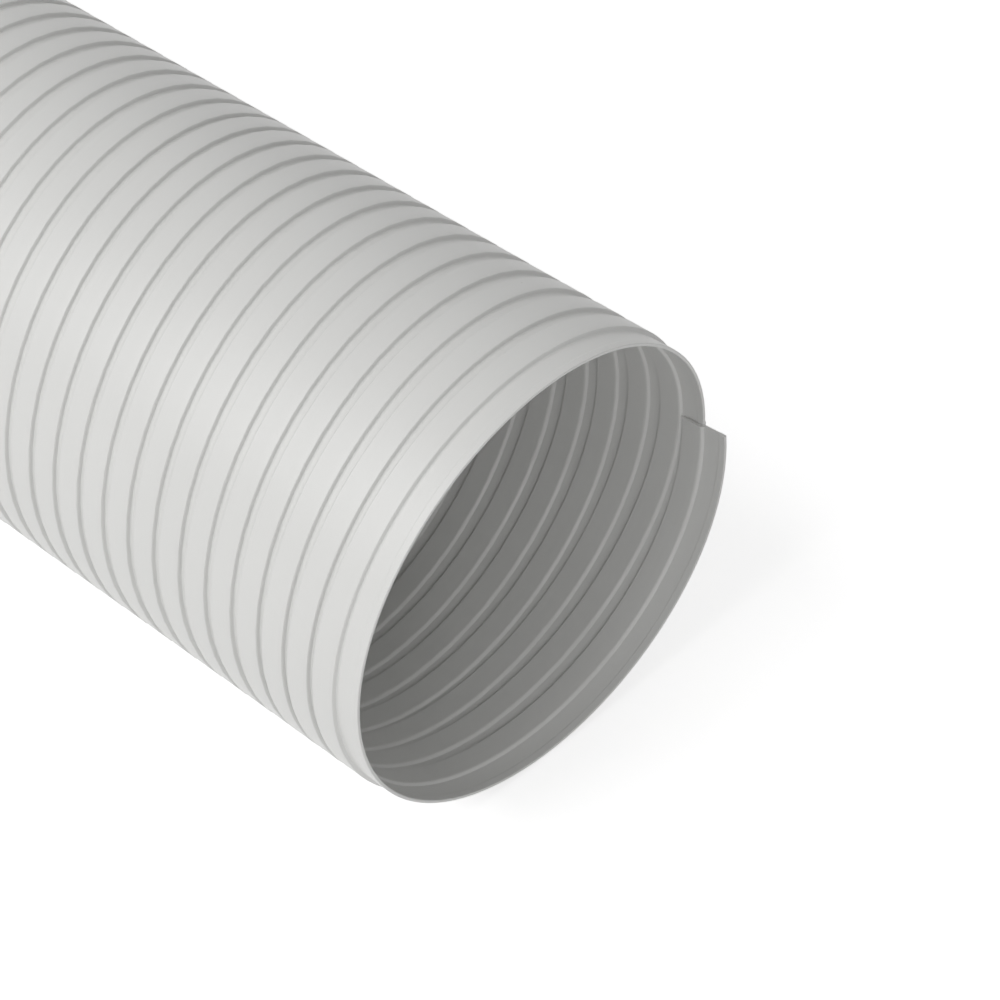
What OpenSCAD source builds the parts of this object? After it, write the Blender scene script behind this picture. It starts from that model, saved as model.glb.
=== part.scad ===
/* [Hose] */
// overall length of the piece of hose, from the foremost to the rearmost edge of the strip
hose_length = 1000; // [100:10:2000]
// inside diameter of the hose
bore_d = 200; // [80:1:400]
// full turns of the wound strip
turns = 63; // [4:1:130]
// angle of the strip's cut end at the mouth, counter-clockwise seen from the front
cut_angle = 8; // [0:1:359]

/* [Strip profile] */
// thickness of the inner lip that makes the smooth bore
inner_lip_t = 1.1; // [0.6:0.1:2]
// length of the inner lip behind the web
inner_lip_l = 11; // [6:0.5:13]
// thickness of the outer lip
outer_lip_t = 0.9; // [0.6:0.1:2]
// length of the outer lip behind the web
outer_lip_l = 13.9; // [8:0.1:15]
// depth of the slot between the two lips
slot_depth = 2.1; // [1.6:0.1:4]
// length of the small inward hook at the end of the outer lip
hook_l = 1.3; // [0.6:0.1:3]
// height of that hook
hook_h = 0.5; // [0.2:0.1:1]
// thickness of the web at the bottom of the slot
web_t = 1.2; // [0.8:0.1:2]
// thickness of the front flange
flange_t = 0.9; // [0.6:0.1:2]
// length of the front flange with its bead, in front of the web
flange_l = 10.8; // [6:0.1:12]
// length of the bead along the flange's front edge
bead_l = 3.8; // [2:0.1:6]
// height of the bead above each side of the flange
bead_h = 0.35; // [0.1:0.05:1]
// play between a turn's hook and the flange that it grips
play = 0.1; // [0:0.05:0.5]

/* [Hidden] */
$fn = 192;

// radii of the strip, from the bore outwards
bore_r = bore_d / 2;
lip_r = bore_r + inner_lip_t;
slot_r = lip_r + slot_depth;
outer_r = slot_r + outer_lip_t;
hook_r = slot_r - hook_h;
flange_or = hook_r - play;
flange_ir = flange_or - flange_t;

// the strip is wound so far apart that the given turns make up the length
pitch = (hose_length - flange_l - outer_lip_l) / turns;
mid_r = (bore_r + outer_r) / 2;

// each turn is made of arcs in tilted planes, because a plane stays exact where a helix would not
ARCS = 3;
tilt = asin(pitch / (2 * ARCS) / sin(180 / ARCS) / mid_r);
lap = 0.4;

// front face of the web of the first turn at the cut end
web_front = hose_length / 2 - flange_l;
spare = 2;
far = pitch + flange_l + outer_lip_l + 2 * spare;

// rectangular band wound around the axis, between two radii and two stations in front of the web
module band(ri, ro, z0, z1, first, last)
  for (k = [first : last], a = [1 : ARCS])
    translate([0, 0, web_front - pitch * (k + (a - 0.5) / ARCS) + (z0 + z1) / 2])
      rotate([0, 0, cut_angle - (a - 0.5) * 360 / ARCS])
        rotate([tilt, 0, 0])
          rotate([0, 0, -180 / ARCS - lap])
            rotate_extrude(angle = 360 / ARCS + 2 * lap)
              translate([ri, (z0 - z1) / 2]) square([ro - ri, z1 - z0]);

// groove outside and recess inside that show between one turn and the next
module turn_gaps(first, last) {
  band(flange_or, outer_r + spare, 0, pitch - outer_lip_l, first, last);
  band(bore_r - spare, flange_ir, 0, pitch - inner_lip_l, first, last);
}

// everything in front of the first turn's flange and bead
module mouth_end() {
  band(bore_r - 2 * spare, outer_r + 2 * spare, flange_l, far, 0, 0);
  band(flange_or + bead_h, outer_r + 1.5 * spare, flange_l - bead_l - 0.5, flange_l + 1, 0, 0);
  band(flange_or, outer_r + spare, 0, flange_l - bead_l, 0, 0);
  band(bore_r - 1.5 * spare, flange_ir - bead_h, flange_l - bead_l - 0.5, flange_l + 1, 0, 0);
  band(bore_r - spare, flange_ir, 0, flange_l - bead_l, 0, 0);
}

// empty front part of the slot in the first turn, which shows at the cut end
module open_slot() band(lip_r, slot_r, flange_l - pitch, -web_t, 0, 0);

// everything behind the last turn's lips, and its empty slot
module rear_end() {
  k = turns - 1;
  band(bore_r - 2 * spare, outer_r + 2 * spare, -far, -outer_lip_l, k, k);
  band(bore_r - 1.5 * spare, hook_r, -outer_lip_l - 1, -inner_lip_l, k, k);
  band(lip_r, hook_r - 0.01, -inner_lip_l - 0.5, hook_l - outer_lip_l + 0.5, k, k);
  band(lip_r, slot_r, hook_l - outer_lip_l, -web_t, k, k);
}

module wound_strip() color([0.86, 0.87, 0.86]) difference() {
  translate([0, 0, -hose_length / 2 - spare]) cylinder(r = outer_r, h = hose_length + 2 * spare);
  translate([0, 0, -hose_length]) cylinder(r = bore_r, h = 2 * hose_length);
  turn_gaps(1, turns - 1);
  mouth_end();
  open_slot();
  rear_end();
}

// the hose lies on the floor along X, with its mouth towards +X
module lying() translate([0, 0, outer_r]) rotate([90, 0, 90]) children();

lying() wound_strip();
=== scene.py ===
import math

import bpy
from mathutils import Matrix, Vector


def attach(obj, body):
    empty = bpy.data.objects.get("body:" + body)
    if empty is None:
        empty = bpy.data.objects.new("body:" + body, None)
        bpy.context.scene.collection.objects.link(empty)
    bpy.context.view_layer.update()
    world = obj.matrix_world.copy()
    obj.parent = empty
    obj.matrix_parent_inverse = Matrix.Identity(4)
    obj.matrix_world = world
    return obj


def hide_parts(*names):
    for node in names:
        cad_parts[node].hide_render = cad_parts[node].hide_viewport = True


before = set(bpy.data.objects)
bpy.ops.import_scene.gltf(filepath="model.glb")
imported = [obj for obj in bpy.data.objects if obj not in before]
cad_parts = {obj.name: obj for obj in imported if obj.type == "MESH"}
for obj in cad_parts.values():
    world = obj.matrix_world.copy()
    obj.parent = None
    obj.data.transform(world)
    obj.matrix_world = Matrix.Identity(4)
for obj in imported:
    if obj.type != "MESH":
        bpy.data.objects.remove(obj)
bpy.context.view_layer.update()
print("frame loaded:", sorted(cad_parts))

scene = bpy.context.scene


def addNode(tree, kind, **settings):
    node = tree.nodes.new(kind)
    for name, value in settings.items():
        setattr(node, name, value)
    return node


def plug(tree, socket, value):
    if isinstance(value, bpy.types.NodeSocket):
        tree.links.new(value, socket)
    elif value is not None:
        socket.default_value = value


def calc(tree, operation, a, b=None, c=None, clamp=False):
    node = addNode(tree, "ShaderNodeMath", operation=operation, use_clamp=clamp)
    for socket, value in zip(node.inputs, (a, b, c)):
        plug(tree, socket, value)
    return node.outputs[0]


# the hose: one strip of grey plastic, wound right-handed from its cut end at the mouth
hose = {
    "pitch": 15.516,         # mm from one turn to the next
    "turns": 63,
    "cutAngle": 5.5,         # degrees above +Y, where the strip's cut end sits
    "boreRadius": 100.0,
    "axisHeight": 104.1,
    "webFront": 489.2,       # mm, the web's front at the cut end, along X
    "fineTurns": 3,          # the turns at the mouth are cut finer
    "finePoints": 108,       # rings in each of them
    "coarsePoints": 54,
    "crease": 12.0,          # degrees, edges sharper than this stay sharp
    "flangeLean": 1.0,       # degrees that the free flange leans inwards at the mouth
}

# the strip's section in mm: along the hose towards the mouth, and up from the bore
stripSection = [
    (-11.0, 0.5), (-10.65, 0.0), (-1.3, 0.0), (-0.6, 0.18), (0.4, 0.95),
    (4.4, 1.5), (7.4, 1.55), (7.8, 1.42), (10.6, 1.48), (10.8, 1.75),
    (10.8, 2.6), (10.6, 2.84), (7.8, 2.84), (7.4, 2.66), (0.2, 2.3),
    (-0.4, 2.6), (-0.85, 3.6), (-1.15, 4.0), (-1.7, 4.1), (-5.5, 4.0),
    (-11.3, 4.0), (-11.65, 3.75), (-11.7, 2.8), (-2.3, 2.9), (-2.3, 1.35), (-11.0, 0.95),
]
# the play between the turns: turns done, and mm forward of the strip's even place,
# first all round, then at the +Y side, then at the top
turnDrift = [(0, 0), (1, 0.3), (2, 0.7), (4, 1.7), (7, 1.8), (9, 2.4), (11, 3.8), (12, 5.0), (13, 6.4),
             (15, 8.0), (24, 6.2), (34, 4.9), (44, 3.0), (54, 1.7), (63, 0)]
turnAside = [(0, 5.9), (1.5, 2.9), (3, 0.2), (5, -2.4), (7, -5.0), (9, -6.5), (12, -7.9), (15, -7.4), (30, -4.5), (63, 0)]
turnUp = [(0, 1.8), (1.5, 1.8), (3, -0.1), (5, -1.0), (7, -1.3), (9, -0.5), (12, 0), (63, 0)]


def makeSection():
    line = bpy.data.meshes.new("stripSection")
    points = [(-h, -z, 0) for z, h in stripSection]
    count = len(points)
    line.from_pydata(points, [(i, (i + 1) % count) for i in range(count)], [])
    for name, values in (("along", [z for z, h in stripSection]), ("height", [h for z, h in stripSection])):
        layer = line.attributes.new(name, "FLOAT", "POINT")
        layer.data.foreach_set("value", values)
    return bpy.data.objects.new("stripSection", line)


def playCurve(tree, share, steps):
    curve = addNode(tree, "ShaderNodeFloatCurve")
    low, high = -10.0, 10.0
    points = curve.mapping.curves[0].points
    places = [(t / hose["turns"], (d - low) / (high - low)) for t, d in steps]
    points[0].location, points[-1].location = places[0], places[-1]
    for place in places[1:-1]:
        points.new(*place)
    curve.mapping.update()
    plug(tree, curve.inputs["Value"], share)
    return calc(tree, "MULTIPLY_ADD", curve.outputs[0], high - low, low)


def windingTree(section):
    tree = bpy.data.node_groups.new("woundStrip", "GeometryNodeTree")
    face = tree.interface
    face.new_socket("Geometry", in_out="OUTPUT", socket_type="NodeSocketGeometry")
    for name, kind in (("Section", "NodeSocketObject"), ("Material", "NodeSocketMaterial"),
                       ("Turns", "NodeSocketInt"), ("Fine turns", "NodeSocketInt"),
                       ("Fine points", "NodeSocketInt"), ("Coarse points", "NodeSocketInt"),
                       ("Pitch", "NodeSocketFloat"), ("Cut angle", "NodeSocketFloat"),
                       ("Bore radius", "NodeSocketFloat"), ("Axis height", "NodeSocketFloat"),
                       ("Web front", "NodeSocketFloat"), ("Flange lean", "NodeSocketFloat"),
                       ("Crease", "NodeSocketFloat")):
        face.new_socket(name, in_out="INPUT", socket_type=kind)
    given = addNode(tree, "NodeGroupInput").outputs

    def math2(operation, a, b=None, c=None, clamp=False):
        return calc(tree, operation, a, b, c, clamp)

    # one point for each ring of the strip, and the turns done at each of them
    finePart = math2("MULTIPLY", given["Fine turns"], given["Fine points"])
    coarseTurns = math2("SUBTRACT", given["Turns"], given["Fine turns"])
    rings = math2("ADD", math2("MULTIPLY_ADD", coarseTurns, given["Coarse points"], finePart), 1.0)
    line = addNode(tree, "GeometryNodeMeshLine")
    plug(tree, line.inputs["Count"], rings)
    index = addNode(tree, "GeometryNodeInputIndex").outputs[0]
    fine = math2("DIVIDE", math2("MINIMUM", index, finePart), given["Fine points"])
    coarse = math2("DIVIDE", math2("MAXIMUM", math2("SUBTRACT", index, finePart), 0.0), given["Coarse points"])
    done = math2("ADD", fine, coarse)
    store = addNode(tree, "GeometryNodeStoreNamedAttribute", data_type="FLOAT", domain="POINT")
    plug(tree, store.inputs["Geometry"], line.outputs[0])
    plug(tree, store.inputs["Name"], "turnsDone")
    plug(tree, store.inputs["Value"], done)
    curve = addNode(tree, "GeometryNodeMeshToCurve")
    plug(tree, curve.inputs[0], store.outputs[0])
    turnsDone = addNode(tree, "GeometryNodeInputNamedAttribute", data_type="FLOAT")
    plug(tree, turnsDone.inputs["Name"], "turnsDone")
    phi = turnsDone.outputs["Attribute"]

    # the path: back along the axis and round it, with the play between the turns
    angle = math2("SUBTRACT", given["Cut angle"], math2("MULTIPLY", phi, math.tau))
    share = math2("DIVIDE", phi, given["Turns"])
    play = playCurve(tree, share, turnDrift)
    settled = math2("SUBTRACT", 1.0, math2("POWER", math.exp(-1 / 0.15), phi))
    tip = math2("ADD", math2("MULTIPLY", math2("COSINE", angle), playCurve(tree, share, turnAside)),
                math2("MULTIPLY", math2("SINE", angle), playCurve(tree, share, turnUp)))
    tip = math2("MULTIPLY", tip, settled)
    back = math2("SUBTRACT", math2("ADD", play, tip), math2("MULTIPLY", phi, given["Pitch"]))
    spot = addNode(tree, "ShaderNodeCombineXYZ")
    plug(tree, spot.inputs[0], math2("MULTIPLY", math2("COSINE", angle), given["Bore radius"]))
    plug(tree, spot.inputs[1], math2("MULTIPLY", math2("SINE", angle), given["Bore radius"]))
    plug(tree, spot.inputs[2], back)
    move = addNode(tree, "GeometryNodeSetPosition")
    plug(tree, move.inputs["Geometry"], curve.outputs[0])
    plug(tree, move.inputs["Position"], spot.outputs[0])
    upright = addNode(tree, "GeometryNodeSetCurveNormal", mode="Z_UP")
    plug(tree, upright.inputs[0], move.outputs[0])

    # the section is swept along it
    outline = addNode(tree, "GeometryNodeObjectInfo")
    plug(tree, outline.inputs["Object"], given["Section"])
    ring = addNode(tree, "GeometryNodeMeshToCurve")
    plug(tree, ring.inputs[0], outline.outputs["Geometry"])
    sweep = addNode(tree, "GeometryNodeCurveToMesh")
    plug(tree, sweep.inputs["Curve"], upright.outputs[0])
    plug(tree, sweep.inputs["Profile Curve"], ring.outputs[0])
    plug(tree, sweep.inputs["Fill Caps"], True)

    # the free flange of the first turn leans inwards, and is caught by the next turn's slot
    along = addNode(tree, "GeometryNodeInputNamedAttribute", data_type="FLOAT")
    plug(tree, along.inputs["Name"], "along")
    ahead = math2("MAXIMUM", math2("SUBTRACT", along.outputs["Attribute"], 0.4), 0.0)
    caught = addNode(tree, "ShaderNodeMapRange", interpolation_type="SMOOTHSTEP")
    for socket, value in zip(caught.inputs[:5], (phi, 0.86, 1.02, 1.0, 0.0)):
        plug(tree, socket, value)
    inwards = math2("MULTIPLY", math2("MULTIPLY", ahead, math2("TANGENT", given["Flange lean"])), caught.outputs[0])
    place = addNode(tree, "GeometryNodeInputPosition").outputs[0]
    flat = addNode(tree, "ShaderNodeVectorMath", operation="MULTIPLY")
    plug(tree, flat.inputs[0], place)
    plug(tree, flat.inputs[1], (-1.0, -1.0, 0.0))
    unit = addNode(tree, "ShaderNodeVectorMath", operation="NORMALIZE")
    plug(tree, unit.inputs[0], flat.outputs[0])
    shift = addNode(tree, "ShaderNodeVectorMath", operation="SCALE")
    plug(tree, shift.inputs[0], unit.outputs[0])
    plug(tree, shift.inputs["Scale"], inwards)
    lean = addNode(tree, "GeometryNodeSetPosition")
    plug(tree, lean.inputs["Geometry"], sweep.outputs[0])
    plug(tree, lean.inputs["Offset"], shift.outputs[0])

    # crisp edges where the section turns sharply
    smooth = addNode(tree, "GeometryNodeSetShadeSmooth", domain="EDGE")
    bend = addNode(tree, "GeometryNodeInputMeshEdgeAngle")
    plug(tree, smooth.inputs["Geometry"], lean.outputs[0])
    plug(tree, smooth.inputs["Shade Smooth"],
         compare(tree, bend.outputs["Unsigned Angle"], "LESS_THAN", given["Crease"]))
    shade = addNode(tree, "GeometryNodeSetShadeSmooth", domain="FACE")
    plug(tree, shade.inputs["Geometry"], smooth.outputs[0])

    # the finish follows the strip: turns done, and the place across it
    across = addNode(tree, "ShaderNodeCombineXYZ")
    plug(tree, across.inputs[0], phi)
    plug(tree, across.inputs[1], math2("MULTIPLY_ADD", along.outputs["Attribute"], 0.04, 0.5))
    unwrap = addNode(tree, "GeometryNodeStoreNamedAttribute", data_type="FLOAT2", domain="CORNER")
    plug(tree, unwrap.inputs["Geometry"], shade.outputs[0])
    plug(tree, unwrap.inputs["Name"], "UVMap")
    plug(tree, unwrap.inputs["Value"], across.outputs[0])

    # laid on the floor along X, in metres
    place = addNode(tree, "GeometryNodeTransform")
    plug(tree, place.inputs["Geometry"], unwrap.outputs[0])
    millimetre = 0.001
    corner = addNode(tree, "ShaderNodeCombineXYZ")
    plug(tree, corner.inputs[0], math2("MULTIPLY", given["Web front"], millimetre))
    plug(tree, corner.inputs[2], math2("MULTIPLY", given["Axis height"], millimetre))
    plug(tree, place.inputs["Translation"], corner.outputs[0])
    plug(tree, place.inputs["Rotation"], (math.pi / 2, 0, math.pi / 2))
    plug(tree, place.inputs["Scale"], (millimetre,) * 3)
    real = addNode(tree, "GeometryNodeRealizeInstances")
    plug(tree, real.inputs[0], place.outputs[0])
    coat = addNode(tree, "GeometryNodeSetMaterial")
    plug(tree, coat.inputs["Geometry"], real.outputs[0])
    plug(tree, coat.inputs["Material"], given["Material"])
    plug(tree, addNode(tree, "NodeGroupOutput").inputs[0], coat.outputs[0])
    return tree


def compare(tree, a, operation, b):
    node = addNode(tree, "FunctionNodeCompare", data_type="FLOAT", operation=operation)
    plug(tree, node.inputs[0], a)
    plug(tree, node.inputs[1], b)
    return node.outputs[0]


def windHose(material):
    section = makeSection()
    tree = windingTree(section)
    holder = bpy.data.objects.new("winding", bpy.data.meshes.new("winding"))
    scene.collection.objects.link(holder)
    modifier = holder.modifiers.new("wind", "NODES")
    modifier.node_group = tree
    values = {
        "Section": section, "Material": material, "Turns": hose["turns"],
        "Fine turns": hose["fineTurns"], "Fine points": hose["finePoints"],
        "Coarse points": hose["coarsePoints"], "Pitch": hose["pitch"],
        "Cut angle": math.radians(hose["cutAngle"]), "Bore radius": hose["boreRadius"],
        "Axis height": hose["axisHeight"], "Web front": hose["webFront"],
        "Flange lean": math.radians(hose["flangeLean"]), "Crease": math.radians(hose["crease"]),
    }
    for item in tree.interface.items_tree:
        if item.in_out == "INPUT":
            modifier[item.identifier] = values[item.name]
    graph = bpy.context.evaluated_depsgraph_get()
    mesh = bpy.data.meshes.new_from_object(holder.evaluated_get(graph))
    mesh.name = "woundStrip"
    bpy.data.objects.remove(holder)
    bpy.data.objects.remove(section)
    piece = bpy.data.objects.new("woundStrip", mesh)
    scene.collection.objects.link(piece)
    return piece


# the finish: light grey satin PVC
plastic = {
    "pale": (0.74, 0.74, 0.725, 1),
    "deep": (0.69, 0.69, 0.675, 1),
    "speck": (0.16, 0.15, 0.14, 1),
    "cloudScale": 9.0,         # per metre, the slow change of the grey
    "lineStretch": (14.0, 260.0, 1.0),  # the die's fine lines run along the strip
    "speckScale": 55.0,        # per metre, the cells that may hold a speck
    "speckShare": 0.3,
    "speckSize": 0.028,        # of a cell
    "lineDepth": 0.00006,      # metres
    "grainScale": 1500.0,
    "grainDepth": 0.000012,
}


def spread(tree, value, low, high, toLow, toHigh):
    node = addNode(tree, "ShaderNodeMapRange")
    for socket, number in zip(node.inputs[:5], (value, low, high, toLow, toHigh)):
        plug(tree, socket, number)
    return node.outputs[0]


def noise(tree, vector, scale, detail=2.0):
    node = addNode(tree, "ShaderNodeTexNoise")
    plug(tree, node.inputs["Vector"], vector)
    plug(tree, node.inputs["Scale"], scale)
    plug(tree, node.inputs["Detail"], detail)
    return node.outputs[0]


def blend(tree, share, a, b):
    node = addNode(tree, "ShaderNodeMix", data_type="RGBA")
    plug(tree, node.inputs[0], share)
    plug(tree, node.inputs[6], a)
    plug(tree, node.inputs[7], b)
    return node.outputs[2]


def greyPlastic():
    material = bpy.data.materials.new("greySatinPvc")
    material.use_nodes = True
    tree = material.node_tree
    shader = tree.nodes["Principled BSDF"]
    place = addNode(tree, "ShaderNodeTexCoord").outputs["Object"]
    strip = addNode(tree, "ShaderNodeUVMap", uv_map="UVMap").outputs[0]
    stretched = addNode(tree, "ShaderNodeVectorMath", operation="MULTIPLY")
    plug(tree, stretched.inputs[0], strip)
    plug(tree, stretched.inputs[1], plastic["lineStretch"])
    clouds = noise(tree, place, plastic["cloudScale"], 4.0)
    lines = noise(tree, stretched.outputs[0], 1.0, 3.0)
    grain = noise(tree, place, plastic["grainScale"], 1.0)
    cells = addNode(tree, "ShaderNodeTexVoronoi")
    plug(tree, cells.inputs["Vector"], place)
    plug(tree, cells.inputs["Scale"], plastic["speckScale"])
    pick = addNode(tree, "ShaderNodeSeparateColor")
    plug(tree, pick.inputs[0], cells.outputs["Color"])
    chosen = calc(tree, "LESS_THAN", pick.outputs[0], plastic["speckShare"])
    size = calc(tree, "MULTIPLY", pick.outputs[1], plastic["speckSize"])
    speck = calc(tree, "MULTIPLY", chosen, calc(tree, "LESS_THAN", cells.outputs["Distance"], size))
    tone = calc(tree, "MULTIPLY_ADD", lines, 0.45, calc(tree, "MULTIPLY", clouds, 0.55))
    grey = blend(tree, spread(tree, tone, 0.3, 0.7, 0.0, 1.0), plastic["deep"], plastic["pale"])
    plug(tree, shader.inputs["Base Color"], blend(tree, calc(tree, "MULTIPLY", speck, 0.8), grey, plastic["speck"]))
    plug(tree, shader.inputs["Roughness"], spread(tree, tone, 0.3, 0.7, 0.36, 0.46))
    ridges = addNode(tree, "ShaderNodeBump")
    plug(tree, ridges.inputs["Strength"], 0.6)
    plug(tree, ridges.inputs["Distance"], plastic["lineDepth"])
    plug(tree, ridges.inputs["Height"], lines)
    skin = addNode(tree, "ShaderNodeBump")
    plug(tree, skin.inputs["Strength"], 0.5)
    plug(tree, skin.inputs["Distance"], plastic["grainDepth"])
    plug(tree, skin.inputs["Height"], grain)
    plug(tree, skin.inputs["Normal"], ridges.outputs[0])
    plug(tree, shader.inputs["Normal"], skin.outputs[0])
    return material


strip = windHose(greyPlastic())
print("strip wound:", len(strip.data.vertices), "points,", sum(len(p.vertices) - 2 for p in strip.data.polygons), "triangles")
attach(strip, "root")
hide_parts("wound_strip")

# the floor, which the camera sees as pure white except in the hose's own shadow
floor = {"size": 8.0, "colour": 0.8, "glow": 0.6}


def makeFloor():
    half = floor["size"] / 2
    mesh = bpy.data.meshes.new("floor")
    mesh.from_pydata([(-half, -half, 0), (half, -half, 0), (half, half, 0), (-half, half, 0)], [], [(0, 1, 2, 3)])
    piece = bpy.data.objects.new("floor", mesh)
    scene.collection.objects.link(piece)
    material = bpy.data.materials.new("paleFloor")
    material.use_nodes = True
    tree = material.node_tree
    shader = tree.nodes["Principled BSDF"]
    plug(tree, shader.inputs["Base Color"], (floor["colour"],) * 3 + (1,))
    plug(tree, shader.inputs["Roughness"], 1.0)
    plug(tree, shader.inputs["Specular IOR Level"], 0.0)
    plug(tree, shader.inputs["Emission Color"], (1, 1, 1, 1))
    plug(tree, shader.inputs["Emission Strength"], calc(tree, "MULTIPLY", seenBare(tree), floor["glow"]))
    mesh.materials.append(material)


def seenBare(tree):
    path = addNode(tree, "ShaderNodeLightPath").outputs
    seen = calc(tree, "MAXIMUM", path["Is Camera Ray"], path["Is Glossy Ray"])
    return calc(tree, "MAXIMUM", seen, path["Is Transmission Ray"])


makeFloor()

# camera: at the photograph's angle
view = {"lens": 98.796, "place": (966.06, -563.78, 885.25), "elevation": 45.012, "heading": 131.503}


def makeCamera():
    data = bpy.data.cameras.new("camera")
    data.lens = view["lens"]
    data.sensor_width = 36
    camera = bpy.data.objects.new("camera", data)
    camera.location = [mm / 1000 for mm in view["place"]]
    camera.rotation_euler = [math.radians(a) for a in (90 - view["elevation"], 0, view["heading"] - 90)]
    scene.collection.objects.link(camera)
    scene.camera = camera


makeCamera()


# soft studio light: a bright sky, a large panel on the -Y side and a weak one that looks into the mouth
studio = {"sky": 0.36}
panels = {
    "panelSide": {"power": 52.0, "size": 2.2, "place": (-0.4, -2.0, 2.4), "aim": (0.35, 0.0, 0.1)},
    "panelMouth": {"power": 5.0, "size": 0.9, "place": (1.7, -1.3, 0.75), "aim": (0.45, 0.05, 0.1)},
}


def makeLights():
    world = bpy.data.worlds.new("studio")
    world.use_nodes = True
    scene.world = world
    tree = world.node_tree
    back = tree.nodes["Background"]
    plug(tree, back.inputs["Color"], (1, 1, 1, 1))
    bare = addNode(tree, "ShaderNodeMapRange")
    for socket, value in zip(bare.inputs[:5], (seenBare(tree), 0.0, 1.0, studio["sky"], 1.0)):
        plug(tree, socket, value)
    plug(tree, back.inputs["Strength"], bare.outputs[0])
    for name, panel in panels.items():
        data = bpy.data.lights.new(name, "AREA")
        data.size = panel["size"]
        data.energy = panel["power"]
        lamp = bpy.data.objects.new(name, data)
        lamp.location = panel["place"]
        lamp.rotation_euler = (Vector(panel["aim"]) - lamp.location).to_track_quat("-Z", "Y").to_euler()
        scene.collection.objects.link(lamp)


makeLights()
scene.view_settings.view_transform = "Standard"
